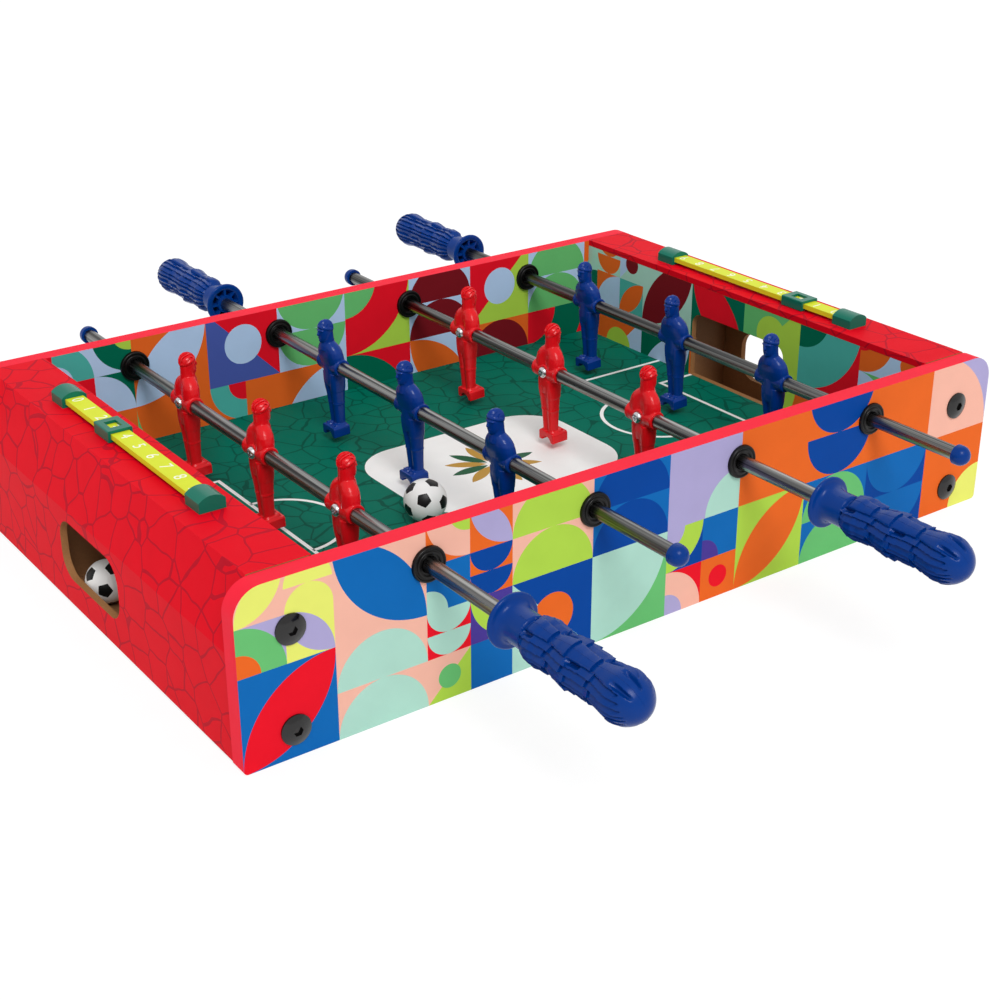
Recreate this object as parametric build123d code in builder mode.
from build123d import *
import os
from math import atan2, cos, pi, radians, sin, sqrt

os.makedirs("parts", exist_ok=True)

# Tabletop foosball. Millimetres, +Z up. X runs from the left goal to the right goal, the rods lie
# along Y, and the origin is on the table under the middle of the pitch.

# ---- cabinet ---------------------------------------------------------------------------------
length = 510.0  # long side panels, end to end
width = 337.5  # over the outer faces of the side panels
panel_height = 95.5
panel_thickness = 11.0
panel_top_radius = 15.0
panel_bottom_radius = 2.5
pitch_level = 27.0  # top of the playing board
pitch_thickness = 3.0
groove_depth = 3.5  # the playing board is let into the side panels this far
slip = 0.1  # clearance of a board in its groove or beside its neighbour

board = 4.0  # thin board of the end boxes
end_depth = 46.8  # from the goal face to the end of the side panels
cover_setback = 0.6  # the side panels stand past the end covers
cover_rise = 0.5  # the covers stand above the side panels
cover_foot = 1.5  # lower edge of the covers above the table
cover_top_width = 33.6  # flat top of a cover, from the goal face to the first fold
cover_fold_height = 59.5  # second fold, where the slanted face meets the upright one

goal_width = 87.0
goal_height = 45.0
goal_radius = 8.0
return_width = 74.0
return_height = 35.0
return_sill = 18.0  # lower edge of the ball return above the table
return_radius = 13.0
floor_level = 2.5  # top of the end-box floor
floor_thickness = 2.0
guide_gap = 108.0  # between the two boards that guide the ball to the return
block_depth = 16.0  # corner block, along Y
block_width = 20.0  # corner block, along X
block_height = 74.0

# ---- panel bolts -----------------------------------------------------------------------------
bolt_inset = 28.0  # from the panel's end
bolt_low = 15.0
bolt_high = 68.5
bolt_head_diameter = 16.0
bolt_head_height = 2.8
bolt_rim = 0.8
bolt_diameter = 6.0
bolt_length = 22.0
bolt_socket = 4.6  # across the flats of the hexagon socket
bolt_socket_depth = 1.6
bolt_bore_spare = 1.0  # the bores in the corner blocks run on past the bolts' ends

# ---- rods ------------------------------------------------------------------------------------
rod_count = 4
rod_pitch = 101.2
rod_drop = 17.0  # the rods' axes under the top edge of the side panels
rod_diameter = 8.0
rod_wall = 1.2
rod_shifts = (-3.5, -0.5, 0.0, -2.0)  # where each rod stands along Y at rest
rod_turns = (-2.5, -3.0, -2.5, -3.0)  # how far each rod is turned at rest, in degrees
rod_end = 231.3  # from the middle of a rod to its cap's centre, and to the handle's flange
running = 0.05  # radial clearance of the rods in their bushes and caps
seat = 0.02  # radial clearance of a piece fixed on the rod

bush_flange_diameter = 19.0
bush_flange_thickness = 2.2
bush_sleeve_diameter = 12.0
bush_recess_diameter = 11.4
bush_recess_depth = 1.0

cap_diameter = 11.4
cap_skirt = 2.2  # length of the cap's straight part
cap_socket_end = 2.2  # the rod ends this far past the cap's centre
cap_float = 0.2  # gap between the rod's end and the bottom of the cap's socket

handle_length = 92.5
handle_flange_diameter = 27.6
handle_rim = 2.4
handle_neck_diameter = 17.6
handle_neck_at = 11.0  # from the flange's face
handle_grip_diameter = 25.2
handle_waist_diameter = 22.0
handle_first_swell = 23.0  # from the flange's face; the last of three swells meets the dome
handle_dome = 15.5  # length of the domed end
grip_relief = 1.3  # depth of the grooves between the grip's shingled strips
tile_rows = 4
tile_step = 1.1  # each tile ends this far above the start of the next
tile_lag = 2.6  # the tiles of every second strip end this much nearer the dome
tile_start = 14.0  # from the flange's face to the first tiles
wide_strip = 52.0  # degrees; one broad strip on each side of the mould's parting line
narrow_strips = 7  # ribs on each flank, between the two broad strips
strip_groove = 4.5  # degrees between neighbouring strips
strip_fade = 3.0  # the strips run this far onto the dome
parting_turn = 22.0  # degrees from upright to the middle of a broad strip
handle_socket = 55.0  # depth to which the rod is pressed in
handle_recess_depth = 3.4
handle_recess_rim = 1.8
handle_hub_diameter = 12.4
handle_web = 1.2
handle_webs = 8

# ---- players ---------------------------------------------------------------------------------
player_spacing = 89.0
boss_diameter = 11.8
boss_half_length = 11.5
head_forward = 3.2
head_centre = 24.4  # above the rod's axis
head_width = 9.6
head_height = 11.6
hair_thickness = 0.5  # the cap of hair stands this far out of the head
hair_tilt = 24.0  # degrees; the hairline rises from the nape to the brow
neck_forward = 2.4
neck_diameter = 8.4
shoulder_height = 14.2
shoulder_taper = 0.55  # the body's size at the top of the shoulders, as a share of the chest
chest_drop = 4.0  # from the shoulders' top to the full chest
torso_width = 14.0
torso_depth = 10.6
chest_forward = 1.0
shoulder_drop = 1.0  # the arms start this far under the neck's foot
arm_width = 6.6  # one arm, along the rod
arm_depth = 9.4
shoulder_reach = 5.4  # from the player's middle to the middle of a shoulder
elbow_reach = 8.1  # from the player's middle to the middle of an elbow, beside the rod
hip_width = 14.6
hip_depth = 10.8
hip_drop = 9.0  # hips below the rod's axis
thigh_width = 12.4
thigh_depth = 9.2
thigh_drop = 16.0
knee_width = 10.8
knee_depth = 7.6
knee_drop = 25.0
ankle_width = 9.4
ankle_depth = 6.4
leg_groove = 1.5  # width of the groove between the legs
foot_gap = 4.8  # from the sole to the playing board
foot_height = 6.4
foot_width = 14.0
foot_rounding = 1.1
toe = 7.6  # foremost point of the foot, forward of the rod's axis
heel = 4.0
arch_width = 8.0  # tunnel under the foot, from heel to toe
arch_height = 3.2
screw_head_diameter = 7.0
screw_head_height = 2.6
screw_diameter = 2.6
screw_seat = 4.4  # from the rod's axis to the underside of the screw's head
screw_head_rounding = 2.0
screw_bite = 0.5  # the screw's end past the inside of the tube
recess_length = 3.5  # cross recess of the screw
recess_width = 1.0
recess_depth = 1.0

# ---- score counters --------------------------------------------------------------------------
counter_inset = 15.3  # from the goal face to the counter's middle
counter_gap = 151.0  # between the two end blocks
block_end_length = 15.0
block_end_width = 14.6
block_end_side = 5.4
block_end_height = 8.4
bar_width = 10.5
bar_thickness = 3.0
bar_lift = 2.0  # underside of the bar above the cover
bar_seat = 6.0  # length of the bar held in each end block
slider_length = 18.0
slider_wall = 1.5
slider_floor = 1.2
slider_play = 0.3
window_length = 9.0
window_width = 6.6
digit_pitch = 15.8
digit_count = 10
scores = {"left": 3, "right": 2}

# ---- balls -----------------------------------------------------------------------------------
ball_diameter = 25.0
ball_on_pitch = (-69.4, -41.5)
ball_in_return_y = 18.0
ball_gap = 0.3  # between a ball and the board or cover beside it

# ---- worked out ------------------------------------------------------------------------------
inner_width = width - 2 * panel_thickness
board_width = inner_width - 2 * slip
goal_x = length / 2 - end_depth
wall_x = goal_x + board  # far face of a goal wall
cover_x = length / 2 - cover_setback
cover_top = panel_height + cover_rise
fold_x = goal_x + cover_top_width
slant = atan2(cover_x - fold_x, cover_top - cover_fold_height)
rod_radius = rod_diameter / 2
rod_height = panel_height - rod_drop
foot_bottom = rod_height - pitch_level - foot_gap  # below the rod's axis
ankle_drop = foot_bottom - foot_height
rod_xs = [(index - (rod_count - 1) / 2) * rod_pitch for index in range(rod_count)]
player_ys = (-player_spacing, 0, player_spacing)
ball_radius = ball_diameter / 2
bar_level = cover_top + bar_lift
counter_x = goal_x + counter_inset
bolt_spacing = (length - 2 * bolt_inset, bolt_high - bolt_low)
bolt_middle = (bolt_high + bolt_low) / 2
ENDS = {"left": -1, "right": 1}
SIDES = {"front": -1, "back": 1}


def save(piece, name):
    piece.label = name
    export_step(piece, f"parts/{name}.step")


def side_plane(sign, distance):
    """Upright plane across Y: its normal points out of the front (-1) or the back (1)."""
    return Plane((0, sign * distance, 0), x_dir=(-sign, 0, 0), z_dir=(0, sign, 0))


def end_plane(sign, distance):
    """Upright plane across X: its normal points out of the left (-1) or the right (1) end."""
    return Plane((sign * distance, 0, 0), x_dir=(0, sign, 0), z_dir=(sign, 0, 0))


def length_plane(sign):
    """The plane of symmetry y = 0, with its x axis towards the left (-1) or the right (1) end."""
    return Plane((0, 0, 0), x_dir=(sign, 0, 0), z_dir=(0, -sign, 0))


def cover_line(depth, foot):
    """A cover's folded outline from foot to goal face, at a depth under its outer skin."""
    lower_fold = (cover_x - depth, cover_fold_height - depth * sin(slant) / (1 + cos(slant)))
    upper_fold = (fold_x - depth * cos(slant) / (1 + sin(slant)), cover_top - depth)
    return [(cover_x - depth, foot), lower_fold, upper_fold, (goal_x, cover_top - depth)]


# ---- side panels: rounded boards with rod bores, bolt holes and a groove for the pitch ---------
for side, sign in SIDES.items():
    with BuildPart() as panel:
        with BuildSketch(side_plane(sign, width / 2)) as outline:
            with Locations((0, panel_height / 2)):
                Rectangle(length, panel_height)
            fillet(outline.vertices().group_by(Axis.Y)[-1], panel_top_radius)
            fillet(outline.vertices().group_by(Axis.Y)[0], panel_bottom_radius)
        extrude(amount=-panel_thickness)
        with BuildSketch(side_plane(sign, width / 2)):
            with Locations(*[(x, rod_height) for x in rod_xs]):
                Circle(bush_sleeve_diameter / 2 + slip)
            with Locations((0, bolt_middle)):
                with GridLocations(*bolt_spacing, 2, 2):
                    Circle(bolt_diameter / 2 + slip)
        extrude(amount=-panel_thickness, mode=Mode.SUBTRACT)
        with BuildSketch(side_plane(sign, inner_width / 2)):
            with Locations((0, pitch_level - pitch_thickness / 2)):
                Rectangle(2 * goal_x, pitch_thickness + 2 * slip)
        extrude(amount=groove_depth, mode=Mode.SUBTRACT)
    save(panel.part, f"{side}_panel")

# ---- playing board -----------------------------------------------------------------------------
with BuildPart() as pitch:
    with BuildSketch(Plane.XY.offset(pitch_level - pitch_thickness)):
        Rectangle(2 * (goal_x - slip), inner_width + 2 * (groove_depth - slip))
    extrude(amount=pitch_thickness)
save(pitch.part, "pitch_board")

# ---- the two end boxes -------------------------------------------------------------------------
for end, sign in ENDS.items():
    with BuildPart() as goal_wall:
        with BuildSketch(end_plane(sign, goal_x)):
            with Locations((0, (floor_level + cover_top - board) / 2)):
                Rectangle(board_width, cover_top - board - floor_level - 2 * slip)
        extrude(amount=board)
        with BuildSketch(end_plane(sign, goal_x)) as mouth:
            with Locations((0, pitch_level + goal_height / 2)):
                Rectangle(goal_width, goal_height)
            fillet(mouth.vertices().group_by(Axis.Y)[-1], goal_radius)
        extrude(amount=board, mode=Mode.SUBTRACT)
    save(goal_wall.part, f"goal_wall_{end}")

    with BuildPart() as cover:
        with BuildSketch(length_plane(sign)):
            with BuildLine():
                Polyline(*cover_line(0, cover_foot), *reversed(cover_line(board, cover_foot)), close=True)
            make_face()
        extrude(amount=board_width / 2, both=True)
        with BuildSketch(end_plane(sign, cover_x)):
            with Locations((0, return_sill + return_height / 2)):
                RectangleRounded(return_width, return_height, return_radius)
        extrude(amount=-board, mode=Mode.SUBTRACT)
    save(cover.part, f"end_cover_{end}")

    with BuildPart() as floor:
        with BuildSketch(Plane.XY.offset(floor_level - floor_thickness)):
            with Locations((sign * (goal_x + cover_x - board - slip) / 2, 0)):
                Rectangle(cover_x - board - slip - goal_x, board_width)
        extrude(amount=floor_thickness)
    save(floor.part, f"end_floor_{end}")

    with BuildPart() as guides:
        for guide_side in (-1, 1):
            guide_plane = length_plane(sign).offset(guide_side * (guide_gap + board) / 2)
            with BuildSketch(guide_plane):
                with BuildLine():
                    inside = cover_line(board + slip, floor_level + slip)
                    foot = (wall_x + slip, floor_level + slip)
                    top = (wall_x + slip, cover_top - board - slip)
                    Polyline(*inside[:3], top, foot, close=True)
                make_face()
            extrude(amount=board / 2, both=True)
    save(guides.part, f"ball_guides_{end}")

    with BuildPart() as blocks:
        with BuildSketch(Plane.XY.offset(floor_level + slip)):
            with Locations((sign * (length / 2 - bolt_inset), 0)):
                with GridLocations(block_width, inner_width - 2 * slip - block_depth, 1, 2):
                    Rectangle(block_width, block_depth)
        extrude(amount=block_height)
        for block_side in SIDES.values():
            with BuildSketch(side_plane(block_side, inner_width / 2)):
                with Locations((-block_side * sign * (length / 2 - bolt_inset), bolt_middle)):
                    with GridLocations(1, bolt_spacing[1], 1, 2):
                        Circle(bolt_diameter / 2 + slip)
            extrude(amount=-(bolt_length - panel_thickness + bolt_bore_spare), mode=Mode.SUBTRACT)
    save(blocks.part, f"corner_blocks_{end}")

# ---- panel bolts: domed caps with a hexagon socket -----------------------------------------------
bolt_dome = bolt_head_height - bolt_rim
bolt_radius = bolt_head_diameter / 2
dome_radius = (bolt_radius**2 + bolt_dome**2) / (2 * bolt_dome)
with BuildPart() as bolt:
    with BuildSketch(Plane.XZ):
        with BuildLine():
            Line((0, -bolt_length), (bolt_diameter / 2, -bolt_length))
            Line((bolt_diameter / 2, -bolt_length), (bolt_diameter / 2, 0))
            Line((bolt_diameter / 2, 0), (bolt_radius, 0))
            Line((bolt_radius, 0), (bolt_radius, bolt_rim))
            RadiusArc((bolt_radius, bolt_rim), (0, bolt_head_height), -dome_radius)
            Line((0, bolt_head_height), (0, -bolt_length))
        make_face()
    revolve(axis=Axis.Z)
    with BuildSketch(Plane.XY.offset(bolt_head_height)):
        RegularPolygon(bolt_socket / 2, 6, major_radius=False)
    extrude(amount=-bolt_socket_depth, mode=Mode.SUBTRACT)

bolt_places = [
    side_plane(sign, width / 2).location * Location((x, z, 0))
    for sign in SIDES.values()
    for x in (-bolt_spacing[0] / 2, bolt_spacing[0] / 2)
    for z in (bolt_low, bolt_high)
]
with BuildPart() as bolts:
    with Locations(*bolt_places):
        add(bolt.part)
save(bolts.part, "panel_bolts")

# ---- rod bushes: one from each face of a panel, in every bore ------------------------------------
with BuildPart() as bush:
    with BuildSketch(Plane.XY):
        Circle(bush_flange_diameter / 2)
    extrude(amount=bush_flange_thickness)
    fillet(bush.faces().sort_by(Axis.Z)[-1].edges(), bush_flange_thickness / 2)
    with BuildSketch(Plane.XY):
        Circle(bush_sleeve_diameter / 2)
    extrude(amount=-(panel_thickness / 2 - slip))
    with BuildSketch(Plane.XY.offset(bush_flange_thickness)):
        Circle(bush_recess_diameter / 2)
    extrude(amount=-bush_recess_depth, mode=Mode.SUBTRACT)
    with BuildSketch(Plane.XY.offset(bush_flange_thickness)):
        Circle(rod_radius + running)
    extrude(amount=-(bush_flange_thickness + panel_thickness), mode=Mode.SUBTRACT)

for side, sign in SIDES.items():
    outward = side_plane(sign, width / 2)
    inward = Plane((0, sign * inner_width / 2, 0), x_dir=(sign, 0, 0), z_dir=(0, -sign, 0))
    for name, plane in (("outer", outward), ("inner", inward)):
        with BuildPart() as bushes:
            with Locations(*[plane.location * Location((x, rod_height, 0)) for x in rod_xs]):
                add(bush.part)
        save(bushes.part, f"bushes_{side}_{name}")

# ---- rod tube, along Y, with a hole in the back for each player's screw ---------------------------
with BuildPart() as tube:
    with BuildSketch(Plane.XZ.offset(rod_end + handle_socket - slip)):
        Circle(rod_radius)
        Circle(rod_radius - rod_wall, mode=Mode.SUBTRACT)
    extrude(amount=-(2 * rod_end + handle_socket - slip + cap_socket_end))
    with BuildSketch(Plane.YZ.offset(-rod_diameter)):
        with Locations(*[(y, 0) for y in player_ys]):
            Circle(screw_diameter / 2 + seat)
    extrude(amount=rod_diameter, mode=Mode.SUBTRACT)

# ---- end cap: a dome that turns on the end of the rod ---------------------------------------------
cap_radius = cap_diameter / 2
with BuildPart() as cap:
    with BuildSketch(Plane.YZ):
        with BuildLine():
            Polyline((cap_skirt, 0), (0, 0), (0, cap_radius), (cap_skirt, cap_radius))
            CenterArc((cap_skirt, 0), cap_radius, 90, -90)
            Line((cap_skirt, 0), (cap_skirt + cap_radius, 0))
        make_face()
    revolve(axis=Axis.Y)
    with BuildSketch(Plane.XZ):
        Circle(rod_radius + running)
    extrude(amount=-(cap_skirt + cap_socket_end + cap_float), mode=Mode.SUBTRACT)

# ---- handle: flange, cone neck, and a grip of shingled strips round a core with two finger waists -----
neck_radius = handle_neck_diameter / 2
grip_radius = handle_grip_diameter / 2
finger_radius = handle_waist_diameter / 2
flange_radius = handle_flange_diameter / 2
last_swell = handle_length - handle_dome
swell_step = (last_swell - handle_first_swell) / 4  # from a swell to the waist beside it
grip_points = [(handle_neck_at, neck_radius)]
for k in range(5):
    grip_points.append((handle_first_swell + k * swell_step, finger_radius if k % 2 else grip_radius))


def grip_outline(along):
    """Radius of the grip over its strips, at a distance from the flange's face."""
    for (start, low), (end, high) in zip(grip_points, grip_points[1:]):
        if along <= end:
            return low + (high - low) * (1 - cos(pi * (along - start) / (end - start))) / 2
    beyond = (along - last_swell) / handle_dome
    return grip_radius * sqrt(1 - beyond**2)


def strip(angle, lag):
    """One strip of tiles, spread evenly about the upright; its tiles end a lag nearer the dome."""
    tile_length = (last_swell + strip_fade - tile_start) / tile_rows
    edge = [(tile_start, 0), (tile_start, grip_outline(tile_start) - tile_step)]
    for row in range(tile_rows):
        end = tile_start + (row + 1) * tile_length
        if row < tile_rows - 1:
            end += lag
            edge += [(end, grip_outline(end)), (end, grip_outline(end) - tile_step)]
        else:
            edge += [(end, grip_outline(end)), (end, 0)]
    with BuildPart() as strip_part:
        with BuildSketch(Plane.YZ):
            with BuildLine():
                Polyline(*[(-along, radius) for along, radius in edge], close=True)
            make_face()
        revolve(axis=Axis.Y, revolution_arc=angle)
    return strip_part.part.rotate(Axis.Y, -angle / 2)


narrow_pitch = (180 - wide_strip) / narrow_strips
strips = []
for half_turn in (0, 180):
    strips.append(strip(wide_strip - strip_groove, 0).rotate(Axis.Y, half_turn))
    for index in range(narrow_strips):
        turn = half_turn + (wide_strip + narrow_pitch) / 2 + index * narrow_pitch
        strips.append(strip(narrow_pitch - strip_groove, tile_lag * ((index + 1) % 2)).rotate(Axis.Y, turn))

with BuildPart() as handle:
    with BuildSketch(Plane.YZ):
        with BuildLine():
            Polyline((-handle_length, 0), (0, 0), (0, flange_radius), (-handle_rim, flange_radius),
                     (-handle_rim, flange_radius - handle_recess_rim), (-handle_neck_at, neck_radius))
            core_points = [(-handle_neck_at, neck_radius)]
            for along, radius in grip_points[1:-1]:
                core_points.append((-along, radius - grip_relief))
            core_points.append((-last_swell, grip_radius))
            Spline(*core_points, tangents=[(-1, 0.3), (-1, 0)])
            EllipticalCenterArc((-last_swell, 0), handle_dome, grip_radius, 90, arc_size=90)
        make_face()
    revolve(axis=Axis.Y)
    add([piece.rotate(Axis.Y, -parting_turn) for piece in strips])
    with BuildSketch(Plane.XZ):
        Circle(flange_radius - handle_recess_rim)
        Circle(handle_hub_diameter / 2, mode=Mode.SUBTRACT)
        with PolarLocations(0, handle_webs):
            Rectangle(2 * flange_radius, handle_web, align=(Align.MIN, Align.CENTER), mode=Mode.SUBTRACT)
    extrude(amount=handle_recess_depth, mode=Mode.SUBTRACT)
    with BuildSketch(Plane.XZ):
        Circle(rod_radius + seat)
    extrude(amount=handle_socket, mode=Mode.SUBTRACT)

# ---- player: torso, arms down to the boss, legs, head with a cap of hair, and an arched foot ------------
body_sections = (
    # level, depth, width, forward
    (shoulder_height, shoulder_taper * torso_depth, shoulder_taper * torso_width, chest_forward),
    (shoulder_height - chest_drop, torso_depth, torso_width, chest_forward),
    (0, torso_depth, torso_width, 0),
    (-hip_drop, hip_depth, hip_width, 0),
    (-thigh_drop, thigh_depth, thigh_width, 0),
    (-knee_drop, knee_depth, knee_width, 0),
    (-ankle_drop, ankle_depth, ankle_width, 0),
)
arm_sections = (
    # level, depth, width, reach
    (shoulder_height - shoulder_drop, shoulder_taper * arm_depth, shoulder_taper * arm_width, shoulder_reach),
    (shoulder_height - chest_drop, arm_depth, arm_width, shoulder_reach),
    (shoulder_height / 3, arm_depth, arm_width, (shoulder_reach + 2 * elbow_reach) / 3),
    (-boss_diameter / 4, arm_depth, arm_width, elbow_reach),
)
with BuildPart() as hair:
    with BuildSketch(Plane.XZ):
        with Locations((head_forward, head_centre)):
            Ellipse(head_width / 2 + hair_thickness, head_height / 2 + hair_thickness)
            Rectangle(2 * head_width, 2 * head_height, align=(Align.MAX, Align.CENTER), mode=Mode.SUBTRACT)
    revolve(axis=Axis((head_forward, 0, 0), (0, 0, 1)))
    hairline = Plane((head_forward, 0, head_centre), z_dir=(-sin(radians(hair_tilt)), 0, cos(radians(hair_tilt))))
    split(bisect_by=hairline, keep=Keep.TOP)

with BuildPart() as boots:
    with BuildSketch(Plane.XY.offset(-foot_bottom)):
        with Locations(((toe - heel) / 2, 0)):
            Rectangle(toe + heel, foot_width)
    extrude(amount=foot_height)
    fillet(boots.edges().filter_by(Axis.Z) + boots.faces().sort_by(Axis.Z)[-1].edges(), foot_rounding)
    with BuildSketch(Plane.YZ.offset(-heel)):
        with Locations((0, -foot_bottom)):
            Ellipse(arch_width / 2, arch_height)
    extrude(amount=toe + heel, mode=Mode.SUBTRACT)

with BuildPart() as player:
    for level, depth, across, forward in body_sections:
        with BuildSketch(Plane.XY.offset(level)):
            with Locations((forward, 0)):
                Ellipse(depth / 2, across / 2)
    loft()
    for arm_side in (-1, 1):
        for level, depth, across, reach in arm_sections:
            with BuildSketch(Plane.XY.offset(level)):
                with Locations((0, arm_side * reach)):
                    Ellipse(depth / 2, across / 2)
        loft()
    with BuildSketch(Plane.XY.offset(shoulder_height - neck_diameter / 2)):
        with Locations((neck_forward, 0)):
            Circle(neck_diameter / 2)
    extrude(amount=head_centre - shoulder_height + neck_diameter / 2)
    with BuildSketch(Plane.XZ):
        with Locations((head_forward, head_centre)):
            Ellipse(head_width / 2, head_height / 2)
            Rectangle(head_width, head_height, align=(Align.MAX, Align.CENTER), mode=Mode.SUBTRACT)
    revolve(axis=Axis((head_forward, 0, 0), (0, 0, 1)))
    add(hair.part)
    add(boots.part)
    with BuildSketch(Plane.XZ):
        Circle(boss_diameter / 2)
    extrude(amount=boss_half_length, both=True)
    with BuildSketch(Plane.XY.offset(-ankle_drop)):
        with Locations((ankle_depth / 2 - leg_groove, 0)):
            Rectangle(hip_depth, leg_groove, align=(Align.MIN, Align.CENTER))
        mirror(about=Plane.YZ)
    extrude(amount=ankle_drop - hip_drop, mode=Mode.SUBTRACT)
    with BuildSketch(Plane.YZ.offset(-screw_seat)):
        Circle(screw_head_diameter / 2 + slip)
    extrude(amount=-torso_depth, mode=Mode.SUBTRACT)
    with BuildSketch(Plane.YZ):
        Circle(screw_diameter / 2 + seat)
    extrude(amount=-torso_depth, mode=Mode.SUBTRACT)
    with BuildSketch(Plane.XZ.offset(-boss_half_length)):
        Circle(rod_radius + seat)
    extrude(amount=2 * boss_half_length, mode=Mode.SUBTRACT)

# ---- player's screw: domed head with a cross recess, into the rod tube -------------------------------
with BuildPart() as screw:
    with BuildSketch(Plane.YZ.offset(-screw_seat)):
        Circle(screw_head_diameter / 2)
    extrude(amount=-screw_head_height)
    fillet(screw.faces().sort_by(Axis.X)[0].edges(), screw_head_rounding)
    with BuildSketch(Plane.YZ.offset(-screw_seat)):
        Circle(screw_diameter / 2)
    extrude(amount=screw_seat - rod_radius + rod_wall + screw_bite)
    with BuildSketch(Plane.YZ.offset(-screw_seat - screw_head_height)):
        Rectangle(recess_length, recess_width)
        Rectangle(recess_width, recess_length)
    extrude(amount=recess_depth, mode=Mode.SUBTRACT)

# ---- the four rods: every second one is the same assembly turned end for end ---------------------------
for index in range(rod_count):
    turns = (0, rod_turns[index], 180 * (index % 2))
    frame = Location((rod_xs[index], rod_shifts[index], rod_height), turns)
    number = index + 1
    save(frame * tube.part, f"rod_tube_{number}")
    save(frame * handle.part.moved(Location((0, -rod_end, 0))), f"handle_{number}")
    save(frame * cap.part.moved(Location((0, rod_end - cap_skirt, 0))), f"end_cap_{number}")
    for place, y in enumerate(player_ys):
        save(frame * player.part.moved(Location((0, y, 0))), f"player_{number}_{place + 1}")
    with BuildPart() as screws:
        with Locations(*[frame * Location((0, y, 0)) for y in player_ys]):
            add(screw.part)
    save(screws.part, f"screws_{number}")

# ---- score counters: two arched end blocks, the digit bar between them and the sliding window -----------
for end, sign in ENDS.items():
    with BuildPart() as blocks:
        with BuildSketch(side_plane(1, counter_gap / 2 + block_end_length)) as arch:
            with BuildLine():
                half = block_end_width / 2
                Polyline((-half, cover_top + block_end_side), (-half, cover_top), (half, cover_top),
                         (half, cover_top + block_end_side))
                ThreePointArc((half, cover_top + block_end_side), (0, cover_top + block_end_height),
                              (-half, cover_top + block_end_side))
            make_face()
        extrude(amount=-block_end_length)
        with BuildSketch(side_plane(1, counter_gap / 2)):
            with Locations((0, bar_level + bar_thickness / 2)):
                Rectangle(bar_width + 2 * slip, bar_thickness + 2 * slip)
        extrude(amount=bar_seat, mode=Mode.SUBTRACT)
        mirror(about=Plane.XZ)
    save(blocks.part.moved(Location((sign * counter_x, 0, 0))), f"score_ends_{end}")

    with BuildPart() as bar:
        with BuildSketch(Plane.XY.offset(bar_level)):
            with Locations((sign * counter_x, 0)):
                Rectangle(bar_width, counter_gap + 2 * (bar_seat - slip))
        extrude(amount=bar_thickness)
    save(bar.part, f"score_bar_{end}")

    digit_place = -sign * ((digit_count - 1) / 2 - scores[end]) * digit_pitch
    tunnel_width = bar_width + 2 * slider_play
    tunnel_height = bar_thickness + 2 * slider_play
    with BuildPart() as slider:
        with BuildSketch(side_plane(1, digit_place + slider_length / 2)) as sleeve:
            with Locations((-sign * counter_x, bar_level - slider_play - slider_floor)):
                Rectangle(tunnel_width + 2 * slider_wall, slider_floor + tunnel_height + slider_wall,
                          align=(Align.CENTER, Align.MIN))
            fillet(sleeve.vertices().group_by(Axis.Y)[-1], slider_wall / 2)
            with Locations((-sign * counter_x, bar_level + bar_thickness / 2)):
                Rectangle(tunnel_width, tunnel_height, mode=Mode.SUBTRACT)
        extrude(amount=-slider_length)
        with BuildSketch(Plane.XY.offset(bar_level + bar_thickness)):
            with Locations((sign * counter_x, digit_place)):
                Rectangle(window_width, window_length)
        extrude(amount=2 * slider_wall, mode=Mode.SUBTRACT)
    save(slider.part, f"score_slider_{end}")

# ---- balls: one on the pitch, one waiting in the left return --------------------------------------------
ball_clear = ball_radius + ball_gap
ball_places = {
    "ball_pitch": (*ball_on_pitch, pitch_level + ball_clear),
    "ball_return": (ball_clear + board - cover_x, ball_in_return_y, floor_level + ball_clear),
}
for name, place in ball_places.items():
    with BuildPart() as ball:
        with Locations(place):
            Sphere(ball_radius)
    save(ball.part, name)
